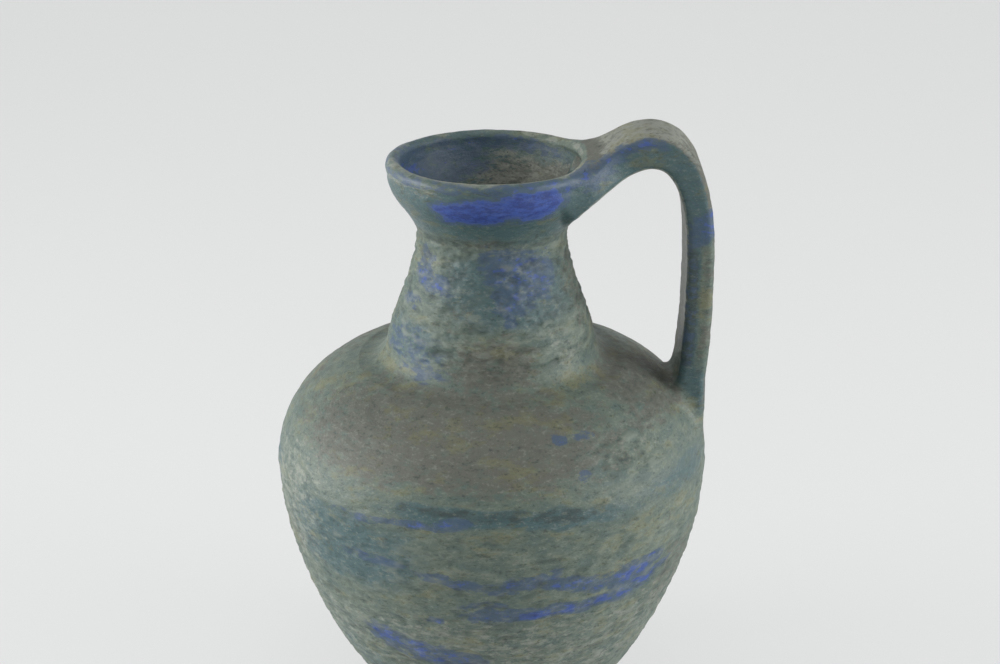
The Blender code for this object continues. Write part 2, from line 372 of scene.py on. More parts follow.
def nearest_on(points, line):
    """The index and share of the nearest place on a line, and the way from there to each point."""
    start, along = line[:-1], np.diff(line, axis=0)
    squared = (along**2).sum(axis=1)
    index = np.empty(len(points), int)
    share = np.empty(len(points))
    for low in range(0, len(points), BATCH):
        gap = points[low:low + BATCH, None, :] - start[None]
        along_share = np.clip((gap * along).sum(axis=2) / squared, 0, 1)
        distance = ((gap - along_share[..., None] * along) ** 2).sum(axis=2)
        nearest = distance.argmin(axis=1)
        index[low:low + BATCH] = nearest
        share[low:low + BATCH] = along_share[np.arange(len(nearest)), nearest]
    return index, share, points - start[index] - share[:, None] * along[index]


def outline_distance(points, line):
    """Distance of points from a turned outline, below 0 inside the clay, which is on the line's left."""
    turned = np.stack([np.hypot(points[:, 0], points[:, 1]), points[:, 2]], axis=1)
    index, _, gap = nearest_on(turned, line)
    along = np.diff(line, axis=0)[index]
    outside = gap[:, 0] * along[:, 1] - gap[:, 1] * along[:, 0] >= 0
    return np.where(outside, 1, -1) * np.linalg.norm(gap, axis=1)


ABOVE_GIRTH = np.flatnonzero(OUTLINE[:, 1] > GIRTH_HEIGHT - WALL)[0]
WALL_LINE = OUTLINE[ABOVE_GIRTH:ENDS["throat_in"]:SKIP]
CORE_LINE = np.concatenate([OUTLINE[ABOVE_GIRTH:ENDS["lip"]:SKIP], [(RIM_RADIUS, RIM_HEIGHT + STRAP_WIDTH)]])


def wall_distance(points):
    return outline_distance(points, WALL_LINE)


def core_distance(points):
    """Distance from the wall taken as a filled form with a core above it, which trims the handle's ends."""
    return outline_distance(points, CORE_LINE)


def strap_distance(points):
    """Distance from the strap, a rounded oblong across its path, trimmed where it ends in the wall."""
    index, share, gap = nearest_on(points[:, (0, 2)], PATH["middle"][::SKIP])
    place = SKIP * (index + share)
    steps = np.arange(len(PATH["middle"]))
    width = np.interp(place, steps, PATH["width"])
    thickness = np.interp(place, steps, PATH["thickness"])
    beyond_width = abs(points[:, 1]) - width / 2 + STRAP_EDGE
    beyond_face = np.linalg.norm(gap, axis=1) - thickness / 2 + STRAP_EDGE
    outside = np.hypot(np.maximum(beyond_width, 0), np.maximum(beyond_face, 0))
    strap = outside + np.minimum(np.maximum(beyond_width, beyond_face), 0) - STRAP_EDGE
    return np.maximum(strap, -(core_distance(points) + HANDLE_BURY))


def joined_distance(points, own, other):
    """Distance from one form with its clay smoothed up to the other, below which it goes straight on."""
    near, far = own(points), other(points)
    at_root = points[:, 2] > (RIM_HEIGHT + GIRTH_HEIGHT) / 2
    wide = np.where(at_root, ROOT_SMOOTHING, LANDING_SMOOTHING)
    lead = np.clip(far - near, 0, wide)
    return np.where(lead < wide, (near + far) / 2 - wide / 4 - lead**2 / wide / 4, near)


def slope(distance, points):
    """The unit direction in which a distance grows fastest."""
    found = np.empty_like(points)
    for axis in range(3):
        step = np.zeros(3)
        step[axis] = SLOPE_REACH
        found[:, axis] = distance(points + step) - distance(points - step)
    return unit(found)


def drawn(points, own, other):
    """Points of one form drawn to the smooth surface, unless deep in the other, and how far each sinks.

    A point sinks where the other form is the nearer one, so that the two surfaces cross at an angle."""

    def joined(places):
        return joined_distance(places, own, other)

    points = points.copy()
    depth = np.zeros(len(points))
    index = np.flatnonzero(other(points) < ROOT_SMOOTHING)
    share = smooth_step(-HANDLE_BURY, -HANDLE_BURY / 2, other(points[index]))[:, None]
    target = points[index]
    for _ in range(DRAW_MOVES):
        target = target - joined(target)[:, None] * slope(joined, target)
    points[index] += share * (target - points[index])
    lead = own(points[index]) - other(points[index])
    angle = np.linalg.norm(slope(own, points[index]) - slope(other, points[index]), axis=1)
    depth[index] = np.maximum(lead / np.maximum(angle, LEAST_ANGLE) - HANDLE_OVERLAP, 0) * HANDLE_SINK
    return points, depth


def smoothed_wall(grid):
    """The wall's grid with the clay drawn up to the handle, and how deep each point goes under the handle."""
    points = grid.reshape(-1, 3).copy()
    depth = np.zeros(len(points))
    row = np.arange(len(points)) // grid.shape[1]
    outside = (row > ENDS["girth"]) & (row < ENDS["mouth_edge"])
    near = outside & (points[:, 0] > 0) & (abs(points[:, 1]) < ROOT_WIDTH)
    points[near], depth[near] = drawn(points[near], wall_distance, strap_distance)
    return points.reshape(grid.shape), depth.reshape(grid.shape[:2])


def smoothed_strap(grid):
    """The strap's grid drawn down to the wall, and how deep each point goes under the wall."""
    points, depth = drawn(grid.reshape(-1, 3), strap_distance, wall_distance)
    return points.reshape(grid.shape), depth.reshape(grid.shape[:2])


# Relief of the thrown and beaten clay

# Its forms: the width and height of the bumps, a seed, the octaves of detail, and the depth
WOBBLE = (0.060, 0.050, 3.1, 2, 0.00030)
STROKES = (0.010, 0.0040, 11.7, 3, 0.00055)
DENTS = (0.0055, 0.0032, 23.9, 2, 0.00038)
RIDGES = (0.0075, 0.0022, 71.9, 2, 0.00016)
RINGS = (0.090, 0.0062, 37.3, 2, 0.00028)
LEAST_RINGS = 0.25
INCREMENT, LACUNARITY = 1.0, 2.0

# How strongly the clay is beaten, and how far below and above a place that changes
STRAP_BEATEN = 0.3
INSIDE_ROUGH = 0.6
SHOULDER_CALM = 0.72
SHOULDER_CHANGE = (-0.012, 0.025)
NECK_CHANGE = (0, 0.016)
COLLAR_CHANGE = (-0.002, 0.006)

# How far the relief is set in, and how softly its peaks are worn down
SMOOTH_MARGIN = 0.0001
BEATEN_MARGIN = 0.0004
PEAK_SOFTNESS = 0.0002


def bumps(points, form):
    """Smooth noise at each point, from about minus to plus the depth of its form."""
    width, height, seed, octaves, depth = form
    scaled = points.reshape(-1, 3) / np.array((width, width, height)) + seed
    values = [noise.fractal(place, INCREMENT, LACUNARITY, octaves) for place in scaled.tolist()]
    return np.array(values).reshape(points.shape[:-1]) * depth


def past(place, change, height):
    """A share that goes from 0 to 1 over a change, which is given from a place upwards."""
    return smooth_step(place + change[0], place + change[1], height)


def wall_beaten(points):
    """How strongly the wall is beaten: least on the shoulder and the collar, but for a few rough patches."""
    height = points[..., 2]
    shoulder = past(GIRTH_HEIGHT, SHOULDER_CHANGE, height)
    neck = past(NECK_FOOT_HEIGHT, NECK_CHANGE, height)
    collar = past(THROAT_HEIGHT, COLLAR_CHANGE, height)
    even = 1 - SHOULDER_CALM * shoulder + neck - collar
    return np.maximum(even, laid(azimuths(points), height * MILLIMETRES, ROUGH_PATCHES))


def relief(points, beaten):
    """How far the surface stands in or out, in metres."""
    tooled = bumps(points, STROKES) + bumps(points, DENTS) + bumps(points, RIDGES)
    rings = (LEAST_RINGS + (1 - LEAST_RINGS) * beaten) * bumps(points, RINGS)
    return bumps(points, WOBBLE) + beaten * tooled + rings


def grid_normals(grid):
    """Smooth normals of a grid whose columns go round."""
    across = np.roll(grid, -1, axis=1) - np.roll(grid, 1, axis=1)
    return unit(np.cross(across, np.gradient(grid, axis=0)))


def surfaced(grid, depth, beaten, strength):
    """A grid with its relief on, then sunk where the other form covers it; its normals; and the relief.

    The relief keeps to the inside of the form, with its highest peaks worn down."""
    height = relief(grid, beaten) * strength
    lift = height - (SMOOTH_MARGIN + BEATEN_MARGIN * beaten) * strength
    worn = np.maximum(PEAK_SOFTNESS - abs(lift), 0) ** 2 / PEAK_SOFTNESS / 4
    grid = grid + grid_normals(grid) * (np.minimum(lift, 0) - worn * strength)[..., None]
    normals = grid_normals(grid)
    return grid - normals * depth[..., None], normals, height


def wall_surface():
    """The whole wall as rows of points round the axis, with relief."""
    turns = np.linspace(0, 2 * pi, COLUMNS, endpoint=False)
    ring = np.stack([np.cos(turns), np.sin(turns)], axis=1)
    flat = OUTLINE[:, None, :1] * ring[None]
    height = np.broadcast_to(OUTLINE[:, None, 1:], (len(OUTLINE), COLUMNS, 1))
    grid, depth = smoothed_wall(np.concatenate([flat, height], axis=2))
    strength = smooth_step(FOOT_EDGE, 2 * FOOT_HEIGHT, OUTLINE[:, 1])
    strength[ENDS["bowl_foot"]:] = 0
    return surfaced(grid, depth, wall_beaten(grid), strength[:, None])


def strap_surface(grid):
    """The strap as rows of points round its path, with relief."""
    grid, depth = smoothed_strap(grid)
    return surfaced(grid, depth, STRAP_BEATEN, 1)


# Where each colour of the glaze was laid, with painted light in some pale strokes and painted shade in some
# dark ones: (azimuth, height, half width, half height, slant, strength).
# Azimuths and half widths are in degrees from the front towards the handle, heights in millimetres, and the
# slant in millimetres a degree.

OUTSIDE_GLAZE_AND_PAINTED_LIGHT = {
    "blue": (
        # Lip and collar
        (-10, 255.0, 22, 5.5, 0.05, 2.3), (22, 257.8, 20, 6.5, 0.05, 2.2), (34, 264.4, 32, 2.6, 0.0, 0.85),
        (66, 266.0, 16, 3.4, 0.0, 0.95), (0, 265.6, 360, 2.4, 0.0, 0.42),
        # Neck
        (-48, 217.0, 18, 4.2, -0.15, 0.95), (-55, 225.0, 10, 5.0, -0.2, 0.65), (12, 204.0, 4, 3.2, 0.0, 0.8),
        (18, 224.0, 24, 10.0, -0.1, 0.9), (38, 221.0, 12, 11.0, 0.0, 0.8), (14, 211.5, 16, 6.0, 0.0, 0.75),
        (-60, 188.0, 22, 8.0, 0.1, 0.42), (-40, 181.0, 17, 6.0, 0.0, 0.45), (-62, 206.0, 10, 4.0, 0.0, 0.5),
        # Shoulder and girth
        (22, 161.8, 3.4, 2.0, 0.0, 0.8), (29, 162.3, 3.0, 1.8, 0.0, 0.55), (26, 148.4, 3.6, 1.8, 0.0, 0.5),
        (-24, 130.6, 20, 1.8, 0.1, 0.5), (-19.5, 131.3, 4.2, 1.6, 0.0, 1.0), (-8.4, 133.0, 5, 1.5, 0.0, 0.95),
        (-35, 129.4, 5, 1.6, 0.0, 0.7),
        # Belly
        (10, 104.5, 9, 3.0, 0.3, 0.75), (23, 100.0, 10, 3.8, -0.45, 0.9), (33, 97.6, 8, 3.6, 0.1, 0.95),
        (41, 98.5, 8, 6.0, 0.15, 1.05), (22, 87.2, 27, 3.6, 0.06, 1.1), (46, 91.0, 9, 3.4, 0.35, 1.0),
        (-10, 104.6, 10, 2.6, -0.25, 0.7), (-31, 109.8, 8, 2.8, 0.0, 0.62), (-1, 92.0, 7, 3.0, 0.0, 0.55),
        (-14.7, 81.9, 2.4, 2.2, 0.0, 0.95), (-27, 62.8, 12, 6.4, -0.5, 0.98),
        (-14, 59.5, 11, 5.4, -0.15, 0.98),
        # Back
        (150, 255.0, 26, 5.0, 0.0, 1.9), (215, 258.0, 15, 4.0, 0.0, 0.9), (118, 207.0, 13, 4.8, 0.2, 1.0),
        (182, 222.0, 18, 6.5, 0.0, 0.85), (233, 199.0, 15, 5.0, -0.2, 0.9), (160, 188.0, 14, 5.0, 0.0, 0.6),
        (200, 152.0, 8, 5.0, 0.0, 0.62), (132, 97.0, 21, 3.6, 0.08, 1.0), (172, 71.0, 20, 3.8, -0.1, 1.1),
        (216, 108.0, 14, 3.2, 0.1, 0.85), (252, 84.0, 17, 3.6, -0.1, 1.05), (195, 132.0, 9, 2.0, 0.0, 1.0),
        (100, 66.0, 13, 3.4, 0.1, 0.9), (275, 118.0, 8, 3.0, 0.0, 0.7), (140, 131.5, 8, 1.8, 0.0, 0.9),
    ),
    "teal": (
        (0, 253.0, 360, 18.0, 0.0, 0.8), (-42, 112.0, 26, 20.0, 0.0, 0.85), (5, 134.5, 36, 4.5, -0.05, 1.0),
        (15, 216.0, 60, 20.0, 0.0, 0.75), (-55, 190.0, 28, 12.0, 0.0, 0.7), (-46, 46.0, 18, 16.0, 0.0, 0.6),
        (60, 134.0, 22, 9.0, 0.1, 0.65), (118, 104.0, 34, 24.0, 0.0, 0.7), (220, 60.0, 32, 24.0, 0.0, 0.65),
        (175, 214.0, 32, 14.0, 0.0, 0.65), (255, 130.0, 40, 5.0, 0.0, 0.8), (165, 133.0, 38, 4.0, 0.0, 0.9),
    ),
    "taupe": (
        (-15, 160.0, 62, 18.0, 0.0, 0.8), (75, 166.0, 30, 12.0, 0.0, 0.74), (180, 158.0, 95, 18.0, 0.0, 0.75),
        (-8, 236.0, 15, 4.0, 0.0, 0.6), (2, 184.0, 26, 14.0, 0.0, 0.75), (-20, 204.0, 14, 9.0, 0.0, 0.4),
        (62, 84.0, 16, 22.0, 0.0, 0.55), (75, 212.0, 18, 26.0, 0.0, 0.55), (92, 269.0, 26, 5.0, 0.0, 0.95),
    ),
    "pale": (
        # Pale glaze, and at (-70, 264) pale glaze with a painted highlight on the lip's left
        (46, 152.0, 15, 10.0, 0.0, 0.3), (44, 187.0, 14, 10.0, 0.0, 0.45), (-70, 264.0, 55, 5.0, 0.0, 0.65),
        # (0, 268.4) is a painted highlight along the lip's top, and (0, 60) painted light from the floor on
        # the low belly
        (0, 268.4, 360, 1.3, 0.0, 0.7), (-66, 118.0, 18, 34.0, 0.0, 0.6), (0, 60.0, 360, 26.0, 0.0, 0.52),
        (56, 120.0, 10, 12.0, 0.0, 0.35), (150, 146.0, 20, 9.0, 0.0, 0.4), (235, 186.0, 20, 8.0, 0.0, 0.35),
    ),
    "dark": (
        # (0, 236) is painted shade in the cove under the collar over darker glaze, and (-25, 261.2) painted
        # shade under the lip's roll
        (0, 236.0, 360, 3.5, 0.0, 0.6), (-3, 264.4, 13, 1.6, 0.0, 0.9), (-25, 261.2, 65, 1.1, 0.0, 0.6),
        # (0, 173) is painted shade in the crease at the neck's foot
        (0, 173.0, 360, 3.0, 0.0, 0.2), (2, 136.0, 34, 3.0, -0.05, 0.75), (-5, 122.0, 14, 7.0, 0.0, 0.5),
        (-30, 226.0, 16, 5.0, 0.0, 0.45), (30, 216.0, 48, 18.0, 0.0, 0.4), (62, 164.0, 22, 9.0, 0.0, 0.4),
        (20, 222.0, 22, 11.0, 0.0, 0.55), (180, 134.0, 40, 3.0, 0.0, 0.7), (130, 116.0, 24, 8.0, 0.0, 0.5),
        (215, 230.0, 24, 5.0, 0.0, 0.45),
    ),
}
INSIDE_GLAZE_AND_PAINTED_LIGHT = {
    "blue": (
        (-95, 256.0, 42, 11.0, 0.0, 1.0), (180, 262.0, 55, 3.5, 0.0, 0.7), (-150, 256.0, 30, 9.0, 0.0, 0.62),
    ),
    "teal": ((-120, 250.0, 95, 24.0, 0.0, 0.85), (110, 256.0, 50, 9.0, 0.0, 0.6)),
    "taupe": ((125, 245.0, 70, 14.0, 0.0, 0.9), (0, 268.0, 360, 4.0, 0.0, 0.25)),
    # (180, 250) is painted light on the inside of the mouth, and (0, 268) a painted highlight along the lip's
    # inner top edge
    "pale": ((180, 250.0, 70, 16.0, 0.0, 0.6), (0, 268.0, 360, 1.5, 0.0, 0.7)),
    "dark": (),
}

# Where the calm shoulder is beaten after all, in the same form
ROUGH_PATCHES = (
    (44, 152.0, 15, 11.0, 0.0, 1.4), (38, 140.0, 14, 4.0, 0.0, 0.9), (232, 152.0, 17, 10.0, 0.0, 1.3),
)

# How the edges of a stroke fade, from gone to whole in half widths, and how boxy its outline is
STROKE_FADE = (1.45, 0.45)
STROKE_POWER = 3

# How the strokes wander, in the forms of the relief, but with degrees and then millimetres as the depth
SIDEWAYS_WANDER = (0.013, 0.007, 51.3, 2, 4.0)
UPWARD_WANDER = (0.016, 0.009, 63.7, 2, 2.2)

# How far from the wall its colours run over onto the strap, from gone to whole, and how that line wanders
RUN_OVER = (0.007, 0.001)
RUN_OVER_WANDER = (0.008, 0.005, 81.5, 2, 0.003)

# Heights and a reach on the strap, in millimetres: its blue bands, its stripes of painted light and shade,
# and its painted highlight on top
GRIP_BAND, GRIP_BAND_SLANT = 238, 3
BACK_BAND = 208
STRIPES_FROM, STRIPES_TO = (165, 178), (234, 226)
CROWN_FROM, CROWN_TO = (38, 50), (84, 70)
TOP_HIGHLIGHT_REACH = 68


def azimuths(points):
    return np.degrees(np.arctan2(points[..., 0], -points[..., 1]))


def laid(azimuth, height, strokes):
    """How strongly a colour was laid at each point."""
    total = np.zeros(azimuth.shape)
    for centre, level, half_width, half_height, slant, strength in strokes:
        turn = (azimuth - centre + 180) % 360 - 180
        across, up = turn / half_width, (height - level - slant * turn) / half_height
        reach = (abs(across) ** STROKE_POWER + abs(up) ** STROKE_POWER) ** (1 / STROKE_POWER)
        total = np.maximum(total, strength * smooth_step(*STROKE_FADE, reach))
    return total


def wall_colours(points, inside):
    """The colours laid at points on the wall, with painted light among the pale ones and painted shade among
    the dark ones.
    """
    azimuth = azimuths(points) + bumps(points, SIDEWAYS_WANDER)
    level = points[..., 2] * MILLIMETRES + bumps(points, UPWARD_WANDER)
    return {
        name: np.where(inside, laid(azimuth, level, INSIDE_GLAZE_AND_PAINTED_LIGHT[name]), laid(azimuth, level, strokes))
        for name, strokes in OUTSIDE_GLAZE_AND_PAINTED_LIGHT.items()
    }


def wall_marks(grid, height):
    """The colours laid on the wall, with some painted light and shade, its unglazed foot, how rough it is,
    and its relief in millimetres.
    """
    inside = (np.arange(len(grid)) > (ENDS["lip"] + ENDS["mouth_edge"]) // 2)[:, None]
    marks = wall_colours(grid, inside)
    marks["bare"] = np.where(inside, 0, smooth_step(FOOT_HEIGHT, FOOT_EDGE, grid[..., 2]))
    marks["rough"] = np.where(inside, INSIDE_ROUGH, wall_beaten(grid))
    marks["relief"] = height * MILLIMETRES
    return marks


def between(rise, fall, value):
    """A share of 1 between a rise and a fall, each given by its two ends."""
    return smooth_step(*rise, value) * smooth_step(*fall, value)


def around(centre, fade, value):
    """A share of 1 at a centre, which fades from gone to whole over the given distances from it."""
    return smooth_step(*fade, abs(value - centre))


def strap_colours(points, side, face):
    """The colours laid on the strap, with painted shade and light in stripes along its front, painted light
    on its inner face and a painted highlight on its top. Its front is at a side of -1, and its inner face at
    a face of -1.
    """
    reach, level = points[..., 0] * MILLIMETRES, points[..., 2] * MILLIMETRES
    front, back = smooth_step(-0.55, -0.9, side), smooth_step(0.55, 0.9, side)
    inner, outer = smooth_step(-0.75, -0.95, face), smooth_step(0.5, 0.95, face)
    ridge = front * between((0.0, 0.5), (1.0, 0.75), face)
    # Along the front: a stripe of painted shade towards the inner face and a stripe of painted light towards
    # the outer face
    stripes = front * between(STRIPES_FROM, STRIPES_TO, level)
    painted_shade_stripe = stripes * smooth_step(0.1, -0.35, face)
    painted_light_stripe = stripes * smooth_step(-0.2, 0.3, face)
    plain_front = front - painted_light_stripe
    near_root = smooth_step(64, 52, reach) * smooth_step(-0.4, 0.2, face)
    grip_band = around(GRIP_BAND + GRIP_BAND_SLANT * face, (9, 4), level) * smooth_step(-1.4, -0.2, face)
    blues = (
        ridge * between(CROWN_FROM, CROWN_TO, reach) * 0.85,
        grip_band * np.maximum(front * 0.9, outer * 0.8),
        back * around(BACK_BAND, (9, 3), level) * 0.9,
        painted_shade_stripe * 0.3,
        plain_front * (0.14 + 0.4 * near_root),
    )
    # Painted light on the inner face near the top, where the neck shades it, and a painted highlight on top
    # of the crown
    painted_light_inside = inner * smooth_step(178, 200, level) * 1.3
    painted_highlight_top = outer * around(TOP_HIGHLIGHT_REACH, (36, 12), reach) * 0.8
    return {
        "blue": np.maximum.reduce(blues),
        "teal": np.maximum(plain_front, back) * 0.8,
        # Taupe includes the stripe of painted light
        "taupe": np.maximum(outer * (0.55 + 0.6 * smooth_step(225, 255, level)), painted_light_stripe * 0.5),
        "pale": painted_light_inside + painted_highlight_top,
        # Dark is the stripe of painted shade, and the dark ridge by the root
        "dark": np.maximum(painted_shade_stripe, ridge * smooth_step(80, 66, reach) * 0.9),
    }


def strap_marks(points, side, face, height):
    """The strap's colours with their painted light and shade, running over into the wall's, how rough it is,
    and its relief in millimetres.
    """
    own, walls = strap_colours(points, side, face), wall_colours(points, False)
    away = wall_distance(points.reshape(-1, 3)).reshape(side.shape)
    share = smooth_step(*RUN_OVER, away + bumps(points, RUN_OVER_WANDER))
    marks = {name: own[name] + share * (walls[name] - own[name]) for name in own}
    marks["bare"] = np.zeros(side.shape)
    marks["rough"] = np.full(side.shape, STRAP_BEATEN)
    marks["relief"] = height * MILLIMETRES
    return marks


# Meshes

def grid_piece(name, grid, normals, ring, marks):
    """A closed mesh from a grid of rows that join end to end in a ring, or else are laced up at both ends."""
    rows, columns = grid.shape[:2]
    index = np.arange(rows * columns).reshape(rows, columns)
    lower = index if ring else index[:-1]
    upper = np.roll(index, -1, axis=0) if ring else index[1:]
    faces = np.stack([lower, np.roll(lower, -1, axis=1), np.roll(upper, -1, axis=1), upper], axis=2)
    faces = faces.reshape(-1, 4).tolist()
    if not ring:
        faces += laces(index[0, ::-1].tolist()) + laces(index[-1].tolist())
    mesh = bpy.data.meshes.new(name)
    mesh.from_pydata(grid.reshape(-1, 3), [], faces)
    mesh.shade_smooth()
    for mark, values in marks.items():
        layer = mesh.attributes.new(mark, "FLOAT", "POINT")
        layer.data.foreach_set("value", values.astype(np.float32).ravel())
    bake_map(mesh, rows, columns, ring)
    mesh.normals_split_custom_set_from_vertices(normals.reshape(-1, 3))
    piece = bpy.data.objects.new(name, mesh)
    bpy.context.scene.collection.objects.link(piece)
    return piece


def laces(loop):
    """Faces that close a loop of points by joining its two halves rung by rung."""
    half = len(loop) // 2
    first, last = loop[:half + 1], [loop[0]] + loop[:half - 1:-1]
    rungs = []
    for step in range(half):
        corners = [first[step], first[step + 1], last[step + 1], last[step]]
        rungs.append(list(dict.fromkeys(corners)))
    return rungs


def bake_map(mesh, rows, columns, ring):
    """Unroll the grid into one flat sheet, with any end caps in its corner."""
    bands = rows if ring else rows - 1
    row, column = np.divmod(np.arange(bands * columns), columns)
    left, right = column / columns, (column + 1) / columns
    low, high = row / bands, (row + 1) / bands
    corners = np.stack([left, low, right, low, right, high, left, high], axis=1).reshape(-1, 2)
    spare = np.full((len(mesh.loops) - len(corners), 2), 0.5 / columns)
    sheet = mesh.uv_layers.new(name="OFBake")
    sheet.data.foreach_set("uv", np.concatenate([corners, spare]).astype(np.float32).ravel())


def show(piece, node, material):
    piece.data.materials.append(material)
    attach(piece, "root")
    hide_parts(node)


# Materials

def tint(red, green, blue):
    """A colour given in 0 to 255 as it looks on screen, for a shader's colour socket."""
    scaled = [channel / 255 for channel in (red, green, blue)]
    return (*(value / 12.92 if value < 0.04045 else ((value + 0.055) / 1.055) ** 2.4 for value in scaled), 1)


class Recipe:
    """A material's nodes, added one by one. A given value is either a plain one or another node's output."""

    def __init__(self, name):
        self.material = bpy.data.materials.new(name)
        self.material.use_nodes = True
        self.tree = self.material.node_tree
        self.shader = self.tree.nodes["Principled BSDF"]

    def put(self, socket, value):
        if isinstance(value, bpy.types.NodeSocket):
            self.tree.links.new(value, socket)
        else:
            socket.default_value = value

    def node(self, kind, output, values, **settings):
        made = self.tree.nodes.new(kind)
        for name, value in settings.items():
            setattr(made, name, value)
        for key, value in values.items():
            self.put(made.inputs[key], value)
        return made.outputs[output]

    def mark(self, name):
        return self.node("ShaderNodeAttribute", "Fac", {}, attribute_name=name)

    def patches(self, size, detail, flatten, shift):
        """Noise from 0 to 1 with patches of a size in metres, flattened in height."""
        place = self.node("ShaderNodeTexCoord", "Object", {})
        squashed = self.node("ShaderNodeMapping", "Vector", {
            "Vector": place, "Location": (shift, shift, shift), "Scale": (1, 1, flatten)})
        return self.node("ShaderNodeTexNoise", "Fac", {
            "Vector": squashed, "Scale": 1 / size, "Detail": detail, "Roughness": PATCH_ROUGHNESS})

    def sum(self, *parts):
        """The sum of (value, weight) parts."""
        total = 0.0
        for value, weight in parts:
            values = {0: value, 1: weight, 2: total}
            total = self.node("ShaderNodeMath", "Value", values, operation="MULTIPLY_ADD")
        return total

    def ramp(self, value, low, high, top=1.0):
        """A value eased from 0 at low to top at high."""
        return self.node("ShaderNodeMapRange", "Result", {
            "Value": value, "From Min": low, "From Max": high, "To Min": 0.0, "To Max": top},
            interpolation_type="SMOOTHSTEP")

    def mix(self, share, under, over):
        return self.node("ShaderNodeMix", 2, {0: share, 6: under, 7: over}, data_type="RGBA")


# The glaze, with painted light and shade in some of its washes

GREY_GREEN, SAGE = tint(82, 98, 93), tint(102, 112, 99)
# Taupe also serves as painted light in the stripe on the strap's front
TEAL, TAUPE_AND_PAINTED_LIGHT, OLIVE = tint(68, 91, 94), tint(92, 94, 86), tint(112, 109, 68)
# Pale grey also serves as painted highlights and light, and dark green as painted shade in creases
PALE_GREY_AND_PAINTED_LIGHT, DARK_GREEN_AND_PAINTED_SHADE = tint(143, 147, 137), tint(56, 66, 64)
DARK_FLECK, PALE_FLECK = tint(50, 60, 58), tint(136, 143, 131)
BLUE_HAZE, SOFT_BLUE = tint(64, 83, 106), tint(64, 85, 139)
DEEP_BLUE, BRIGHT_BLUE = tint(44, 62, 122), tint(56, 81, 151)
STRAND, FURROW = tint(134, 143, 134), tint(52, 63, 64)
HOLLOW, PEAK = tint(48, 58, 56), tint(130, 136, 124)
DARK_CLAY, PALE_CLAY = tint(150, 128, 106), tint(172, 150, 126)

LEAST_ROUGHNESS = 0.14
GLAZE_SPECULAR = 0.35
PIT_STRENGTH = 0.7
PIT_DEPTH = 0.0005

# Kinds of patches: the size in metres, the detail, how flat they lie, and a shift that sets each kind apart
PATCHES = {
    "clouds": (0.030, 3, 2.0, 0.0),
    "mottle": (0.009, 5, 2.2, 0.3),
    "broken": (0.0055, 6, 2.2, 0.7),
    "dashes": (0.0042, 4, 2.6, 1.1),
    "grain": (0.0013, 3, 1.5, 1.9),
    "veil": (0.0060, 5, 2.0, 2.7),
}
PATCH_ROUGHNESS = 0.62


def ground(glaze, kinds):
    spread = glaze.sum((kinds["mottle"], 1.0), (kinds["clouds"], 0.7), (kinds["grain"], 0.2))
    return glaze.mix(glaze.ramp(spread, 0.72, 1.18), GREY_GREEN, SAGE)


def with_washes_and_painted_light(colour, glaze, kinds):
    """Teal, taupe, pale, olive and dark washes, broken up by patches and grain. The pale and dark ones also
    carry painted light and shade, and taupe carries the stripe of painted light on the strap.
    """
    mottle, broken, grain = kinds["mottle"], kinds["broken"], kinds["grain"]
    teal = glaze.sum((glaze.mark("teal"), 1.0), (mottle, 1.8), (grain, 0.25))
    colour = glaze.mix(glaze.ramp(teal, 1.32, 1.86), colour, TEAL)
    taupe = glaze.sum((glaze.mark("taupe"), 1.0), (broken, 1.8), (grain, 0.25))
    colour = glaze.mix(glaze.ramp(taupe, 1.32, 1.86), colour, TAUPE_AND_PAINTED_LIGHT)
    pale = glaze.sum((glaze.mark("pale"), 1.0), (broken, 2.0), (grain, 0.4))
    colour = glaze.mix(glaze.ramp(pale, 1.56, 2.10, 0.7), colour, PALE_GREY_AND_PAINTED_LIGHT)
    olive = glaze.sum((kinds["dashes"], -0.3), (kinds["clouds"], 0.6), (mottle, 0.6))
    colour = glaze.mix(glaze.ramp(olive, 0.48, 0.61, 0.4), colour, OLIVE)
    dark = glaze.sum((glaze.mark("dark"), 1.0), (broken, 2.0), (grain, 0.5))
    return glaze.mix(glaze.ramp(dark, 1.66, 2.18, 0.75), colour, DARK_GREEN_AND_PAINTED_SHADE)


def with_flecks(colour, glaze, kinds):
    speckle = glaze.sum((kinds["dashes"], 0.8), (kinds["grain"], 0.7))
    colour = glaze.mix(glaze.ramp(speckle, 0.71, 0.53, 0.65), colour, DARK_FLECK)
    return glaze.mix(glaze.ramp(speckle, 0.80, 0.97, 0.35), colour, PALE_FLECK)


def with_blue(colour, glaze, kinds):
    """Broken blue streaks in a haze, deeper where they are laid thickest."""
    laid_blue = glaze.mark("blue")
    streaks = glaze.sum((laid_blue, 1.0), (kinds["broken"], 3.0), (kinds["grain"], 0.5))
    haze = glaze.sum((glaze.ramp(streaks, 1.92, 2.28, 0.8), glaze.ramp(laid_blue, 0.05, 0.35)))
    colour = glaze.mix(haze, colour, BLUE_HAZE)
    deep = glaze.mix(glaze.ramp(kinds["dashes"], 0.38, 0.62), DEEP_BLUE, BRIGHT_BLUE)
    blue = glaze.mix(glaze.ramp(streaks, 2.95, 3.55), SOFT_BLUE, deep)
    return glaze.mix(glaze.ramp(streaks, 2.68, 2.96), colour, blue)


def with_strands(colour, glaze, kinds):
    """Pale strands and dark furrows, where the clay is rough."""
    rough, veil = glaze.mark("rough"), kinds["veil"]
    patchy = glaze.sum((glaze.ramp(kinds["mottle"], 0.44, 0.64, 0.26), rough))
    strands = glaze.sum((glaze.ramp(veil, 0.42, 0.51), glaze.ramp(veil, 0.60, 0.51)))
    colour = glaze.mix(glaze.sum((strands, patchy)), colour, STRAND)
    furrows = glaze.ramp(veil, 0.43, 0.27, 0.55)
    return glaze.mix(glaze.sum((furrows, rough)), colour, FURROW)


